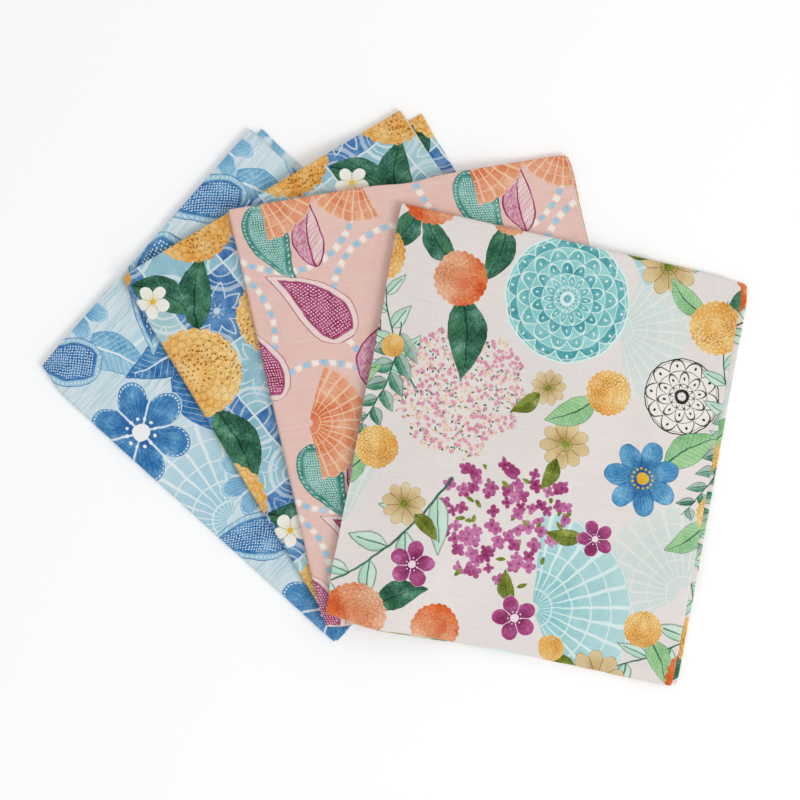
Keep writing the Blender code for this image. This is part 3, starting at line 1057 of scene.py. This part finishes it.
def inks(**values):
    """A motif's settings, with each six-digit code turned into its colour."""
    return {label: ink(value) if isinstance(value, str) else value for label, value in values.items()}


OFF_WHITE = ink("E6DFDB")
WARM_WHITE = ink("F1ECE4")
CLEAR_WHITE = ink("F4F7F8")

BLOCK_BLUE = inks(
    Petal="4F8EC0", Deep="2E6CA8", Heart=CLEAR_WHITE, Outline="DCEAF1", Line=0.010,
    Petals=6.0, Beading=1.0,
)
LIGHT_BLUE = inks(
    Petal="8CC0DC", Deep="4F90C3", Heart=CLEAR_WHITE, Outline="E6F1F5", Line=0.012,
    Petals=8.0, Beading=1.0,
)
BLOCK_LEAF = inks(Leaf="4F8EC0", Shade="3272AE", Vein="DDEBF3", Outline="2E6AA6")
LIGHT_LEAF = inks(Leaf="9FCBE0", Shade="6FACD2", Vein="E8F2F6", Outline="5F9FCB")
BLOCK_PAISLEY = inks(Body="3B7CB4", Border="A3CCDF", Dots="E4EFF5", Outline="2C68A4")
AQUA_FAN = inks(Fan="9CCBDD", Rib="E4F0F3")
DEEP_GREEN = inks(Leaf="47805F", Shade="285B49", Vein="1E4A3B", Outline="214C3D")
OLIVE = inks(Leaf="7F8D33", Shade="66742A", Vein="4F5A1F", Outline="56611F")
FERN = inks(Leaf="A9D39C", Shade="8CC08C", Vein="3E6E52", Outline="3E6E52")
GOLD_BLOOM = inks(Light="F8D288", Deep="EBB15E", Speckle="A87636", Specks=21.0)
ORANGE_BLOOM = inks(Light="E7B791", Deep="DF7038", Speckle="C4552A", Specks=40.0)
WHITE_BLOSSOM = inks(Petal="F5F4EC", Deep="E8E7C9", Heart="E9B93F", Outline="8AA5A0")
MAGENTA_PAISLEY = inks(Body="A53A70", Border="EFD9D2", Dots="F0D5D0", Outline="9A2E66")
TEAL_PAISLEY = inks(Body="67A89E", Border="4F9389", Dots="DDE9DF", Outline="3C7F78")
LINE_LEAF = inks(Leaf="F0DBD4", Shade="C97B9C", Vein="A53A70", Outline="9A2E66", Line=0.012)
MAGENTA_BLOSSOM = inks(Petal="A94A80", Deep="7C2A5C", Heart="F0DDE6", Outline="E7CFDC")
MOSAIC = inks(First="F3ECE2", Second="A3CBE0", Squares=56.0)
SAGE_SPRIG = inks(Leaf="B0D7BD", Vein="2E6A55", Outline="4C6F63")
GREEN_SPRIG = inks(Leaf="3F8A69", Vein="1F5A48", Outline="1F5A48", Leaves=7.0, Fullness=0.30)
PINK_SPRAY = inks(Petal="DDA0B0", Deep="A93A6E", Leaf="2F7A5C", Light="EBD6C0")
MAGENTA_SPRAY = inks(
    Petal="A94A80", Deep="77265A", Leaf="77862E", Light="BE6C9C",
    Scale=8.5, Petals=4.0,
)
SAND_BLOSSOM = inks(
    Petal="DCC79A", Deep="B9975A", Heart="7F8D33", Outline="9C7F4A",
    Petals=9.0, Notch=0.12,
)
BLUE_BLOSSOM = inks(
    Petal="5A9CC6", Deep="1F5F96", Heart="E9B93F", Outline="2A6CA0",
    Petals=7.0, Notch=0.18,
)
PALE_ROSETTE = inks(First="BFDDE9", Second="8FC2DC", Line="EDF4F6", Points=10.0, Rings=3.0)
TEAL_ROSETTE = inks(First="8FCFCB", Second="5BAAB0", Line="DDF0EC", Points=14.0, Rings=5.0)
INK_ROSETTE = inks(First=WARM_WHITE, Second=WARM_WHITE, Line="262626", Points=10.0, Rings=3.0)
BERRY_STAR = inks(First="EBC7CD", Second="A53A70", Line="9A2E66", Points=8.0)

PALE_FAN = inks(Fan="C6DAD6", Rib="E6E7E2", Strength=0.85)
TEAL_FAN = inks(Fan="86C5CA", Rib="DDEDEB")
ORANGE_FAN = inks(Fan="DD6F3B", Rib="F0C9A8")

DESIGNS = {
    "fat_quarter_pale_blue": Design(
        ground="Brushed ground",
        ground_inks=inks(Ground="D0E3EA", Streak="AFD0DC", Light="EAF2F4"),
        repeat=(150.0, 176.0, 2.0),
        stamps=(
            Stamp("Fan", AQUA_FAN, ((110, 24, 153, 74), (148, 137, 31, 80))),
            Stamp("Medallion", PALE_ROSETTE, ((96, 150, 47, 50),)),
            Stamp("Leaf", LIGHT_LEAF, ((43, 65, -71, 58),)),
            Stamp("Leaf", BLOCK_LEAF, ((69, 9, 70, 66), (72, 44, 167, 66))),
            Stamp("Blossom", BLOCK_BLUE, ((19, 18, -123, 72),)),
            Stamp("Blossom", LIGHT_BLUE, ((52, 114, -159, 60),)),
            Stamp("Paisley", BLOCK_PAISLEY, ((97, 80, -169, 80), (18, 94, 123, 62))),
        ),
    ),
    "fat_quarter_tile": Design(
        ground="Tiles",
        ground_turn=7.0,
        ground_size=48.0,
        ground_inks=inks(First="92C1CF", Second="3C7AB4", Third="A4C9D0", Line="DCE8EA"),
        repeat=(158.0, 182.0, 2.0),
        stamps=(
            Stamp("Leaf", DEEP_GREEN, ((7, 136, -94, 60), (108, 118, 18, 58))),
            Stamp("Leaf", DEEP_GREEN, ((18, 66, -56, 50), (42, 58, 56, 52))),
            Stamp("Pompom flower", GOLD_BLOOM, (
                (63, 103, 60, 60), (11, 12, -45, 64), (141, 107, 69, 58), (78, 18, 150, 56),
            )),
            Stamp("Blossom", WHITE_BLOSSOM, (
                (101, 60, 58, 27), (11, 69, -122, 24), (114, 174, 115, 26),
            )),
        ),
    ),
    "fat_quarter_blush": Design(
        ground="Brushed ground",
        ground_inks=inks(Ground="EAC5BB", Streak="ECCAC1", Light="E7C0B5"),
        repeat=(146.0, 168.0, 2.0),
        stamps=(
            Stamp("Mosaic ring", MOSAIC, ((36, 128, 0, 112), (109, 44, 0, 112))),
            Stamp("Paisley", TEAL_PAISLEY, ((21, 98, -97, 56),)),
            Stamp("Leaf", LINE_LEAF, ((81, 8, 66, 52), (54, 99, 84, 46))),
            Stamp("Fan", ORANGE_FAN, ((42, 136, -103, 44), (77, 127, 122, 36))),
            Stamp("Star", BERRY_STAR, ((125, 56, -81, 36),)),
            Stamp("Paisley", MAGENTA_PAISLEY, ((49, 54, 112, 66), (2, 21, 88, 62))),
        ),
    ),
    "fat_quarter_cream": Design(
        ground="Brushed ground",
        ground_inks=inks(Ground=OFF_WHITE, Streak="E3DCD8", Light="E9E3DF"),
        repeat=(236.0, 286.0, 2.0),
        stamps=(
            Stamp("Fan", PALE_FAN, ((212, -203, 55, 66), (185, -51, -88, 52))),
            Stamp("Fan", TEAL_FAN, ((169, -240, -71, 74),)),
            Stamp("Medallion", TEAL_ROSETTE, ((123, -40, 100, 86),)),
            Stamp("Medallion", INK_ROSETTE, ((212, -88, 145, 52),)),
            Stamp("Sprig", SAGE_SPRIG, ((15, -70, 110, 112),)),
            Stamp("Ditsy spray", PINK_SPRAY, ((62, -116, 0, 94),)),
            Stamp("Ditsy spray", MAGENTA_SPRAY, ((106, -196, 0, 98),)),
            Stamp("Sprig", SAGE_SPRIG, ((12, -227, -136, 156),)),
            Stamp("Sprig", GREEN_SPRIG, ((2, -123, -106, 92),)),
            Stamp("Blossom", SAND_BLOSSOM, (
                (188, -3, 177, 40), (39, -197, 134, 30), (139, -136, 32, 34),
                (121, -101, -146, 24),
            )),
            Stamp("Leaf", FERN, (
                (226, -124, 38, 46), (204, -20, 143, 34), (138, -112, -147, 40),
                (231, -181, -135, 36), (227, -269, -59, 34),
            )),
            Stamp("Leaf", OLIVE, (
                (163, -281, 161, 26), (132, -158, -108, 24), (119, -239, 109, 24),
                (47, -258, -102, 24), (56, -210, -38, 24), (150, -196, -178, 26),
                (107, -114, -137, 24),
            )),
            Stamp("Leaf", DEEP_GREEN, (
                (3, -18, -121, 38), (29, -18, 130, 40), (69, -20, -102, 42), (49, -260, 29, 40),
                (56, -80, -80, 58),
            )),
            Stamp("Pompom flower", GOLD_BLOOM, (
                (155, -275, -110, 18), (12, -95, 107, 16), (14, -163, 115, 30),
                (227, -37, -170, 38), (162, -96, 9, 32), (214, -249, 67, 26),
            )),
            Stamp("Pompom flower", ORANGE_BLOOM, ((20, -276, -5, 44),)),
            Stamp("Pompom flower", ORANGE_BLOOM, ((75, -276, -146, 34), (49, -42, 132, 38))),
            Stamp("Blossom", BLUE_BLOSSOM, ((195, -148, -128, 52),)),
            Stamp("Blossom", MAGENTA_BLOSSOM, (
                (127, -260, -173, 32), (171, -195, -28, 26), (52, -236, 158, 32),
            )),
        ),
    ),
}


def draw_design(node, design, motifs, placing):
    """A cloth's whole print, from a place on the cut in millimetres."""
    motif_place, nearer, wobble, uneven_ink = placing
    drawing = Drawing(f"{node}_print", {"Cut": ORIGIN})
    drawn = drawing.use(wobble, Cut=drawing["Cut"])

    def placed(turn, size, **values):
        """Where the cut lies in a ground or motif of this turn, in degrees, and size."""
        return drawing.use(motif_place, Cut=drawn, Turn=np.radians(turn), Size=size, **values)

    place = placed(design.ground_turn, design.ground_size, Repeat=NO_REPEAT)
    colour = drawing.use(motifs[design.ground], Place=place, **design.ground_inks)
    for stamp in design.stamps:
        nearest = None
        for x, y, turn, size in stamp.places:
            place = placed(turn, size, After=colour, Centre=(x, y, 0.0), Repeat=design.repeat)
            nearest = drawing.use(nearer, First=nearest, Second=place) if nearest else place
        colour = drawing.use(motifs[stamp.motif], Place=nearest, Under=colour, **stamp.inks)
    return drawing.finish(drawing.use(uneven_ink, Cut=drawing["Cut"], Ink=colour))


def by_thread(tree, woven, ends):
    """A value that runs from one end, between the threads, to the other on top of them."""
    labels = ("From_Min", "From_Max", "To_Min", "To_Max")
    values = dict(zip(labels, (*THREAD_RANGE, *ends)))
    node = add_node(tree, "ShaderNodeMapRange", Value=woven.outputs["Thread"], **values)
    return node.outputs[0]


def cotton(name, design, weave, reverse_paleness):
    """Printed plain-weave cotton. The reverse shows the print paler, through the cloth."""
    material = bpy.data.materials.new(name)
    material.use_nodes = True
    tree = material.node_tree
    tree.nodes.clear()
    place = add_node(tree, "ShaderNodeUVMap", {"uv_map": "cut_place"}).outputs["UV"]
    cut = add_node(tree, "ShaderNodeVectorMath", SCALED, Vector=place, Scale=1.0 / MILLIMETRE)
    printed, woven = (
        add_node(tree, "ShaderNodeGroup", {"node_tree": drawing.tree}, Cut=cut.outputs[0])
        for drawing in (design, weave)
    )
    colour = laid_over(tree, printed.outputs["Colour"], reverse_paleness, WARM_WHITE)
    # Painted shade and painted highlight: the print is darkened between the threads and lightened on
    # top of them, along with the yarn's own uneven tone.
    shade = by_thread(tree, woven, PAINTED_THREAD_SHADING)
    shaded = add_node(tree, "ShaderNodeVectorMath", SCALED, Vector=colour, Scale=shade)
    rough = by_thread(tree, woven, THREAD_ROUGHNESS)
    relief = add_node(
        tree,
        "ShaderNodeBump",
        Strength=RELIEF_STRENGTH,
        Distance=THREAD_RELIEF * MILLIMETRE,
        Height=woven.outputs["Height"],
    )
    shader = add_node(
        tree,
        "ShaderNodeBsdfPrincipled",
        Base_Color=shaded.outputs[0],
        Roughness=rough,
        Normal=relief.outputs["Normal"],
        Specular_IOR_Level=COTTON_GLOSS,
        Sheen_Weight=COTTON_SHEEN,
        Sheen_Roughness=SHEEN_ROUGHNESS,
    )
    add_node(tree, "ShaderNodeOutputMaterial", Surface=shader.outputs["BSDF"])
    return material


def lay_bundle():
    """Folds and lays the four printed cloths, from the lowest up."""
    placing = draw_motif_place(), draw_nearer(), draw_wobble(), draw_uneven_ink()
    weave = draw_weave()
    drawings = (
        draw_leaf(), draw_sprig(), draw_blossom(), draw_medallion(), draw_paisley(), draw_fan(),
        draw_ditsy(), draw_pompom(), draw_mosaic_ring(), draw_star(), draw_tiles(), draw_brushed(),
    )
    motifs = {drawing.tree.name: drawing for drawing in drawings}
    plans = []
    for quarter in FAT_QUARTERS:
        plan = Plan(quarter)
        design = draw_design(quarter.node, DESIGNS[quarter.node], motifs, placing)
        printed = cotton(f"{quarter.slot}_printed", design, weave, 0.0)
        reverse = cotton(f"{quarter.slot}_reverse", design, weave, REVERSE_PALENESS)
        cloth = add_cloth(plan, plans, printed, reverse)
        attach(cloth, "root")
        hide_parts(quarter.node)
        plans.append(plan)


def add_floor():
    """A plain pale floor."""
    bpy.ops.mesh.primitive_plane_add(size=FLOOR_SIZE)
    floor = bpy.context.object
    floor.name = "floor"
    material = bpy.data.materials.new("floor_paper")
    material.use_nodes = True
    tree = material.node_tree
    feed_named(
        tree,
        tree.nodes["Principled BSDF"],
        Base_Color=FLOOR_COLOUR,
        Roughness=FLOOR_ROUGHNESS,
        Specular_IOR_Level=FLOOR_GLOSS,
        Emission_Color=WHITE,
        Emission_Strength=FLOOR_GLOW,
    )
    floor.data.materials.append(material)


def add_softbox(name, place, size, power):
    """A large soft light that points at the bundle."""
    light = bpy.data.lights.new(name, "AREA")
    light.shape = "SQUARE"
    light.size = size
    light.energy = power
    softbox = bpy.data.objects.new(name, light)
    softbox.location = place
    softbox.rotation_euler = Vector(place).to_track_quat("Z", "Y").to_euler()
    bpy.context.collection.objects.link(softbox)


def light_studio():
    """An even white room with one large soft light from the right."""
    world = bpy.data.worlds.new("studio")
    world.use_nodes = True
    tree = world.node_tree
    feed_named(tree, tree.nodes["Background"], Color=WHITE, Strength=ROOM_LIGHT)
    bpy.context.scene.world = world
    add_softbox("key_softbox", KEY_PLACE, KEY_SIZE, KEY_POWER)
    bpy.context.scene.view_settings.view_transform = "Standard"


def add_camera():
    """The photograph's view, from straight above."""
    camera = bpy.data.cameras.new("camera")
    camera.sensor_width = SENSOR_WIDTH
    camera.lens = SENSOR_WIDTH * (CAMERA_HEIGHT - FRAMED_HEIGHT) / FRAME_WIDTH
    camera.clip_end = CAMERA_REACH
    holder = bpy.data.objects.new("camera", camera)
    holder.location = (*FRAME_CENTRE, CAMERA_HEIGHT)
    bpy.context.collection.objects.link(holder)
    bpy.context.scene.camera = holder


lay_bundle()
add_floor()
light_studio()
add_camera()
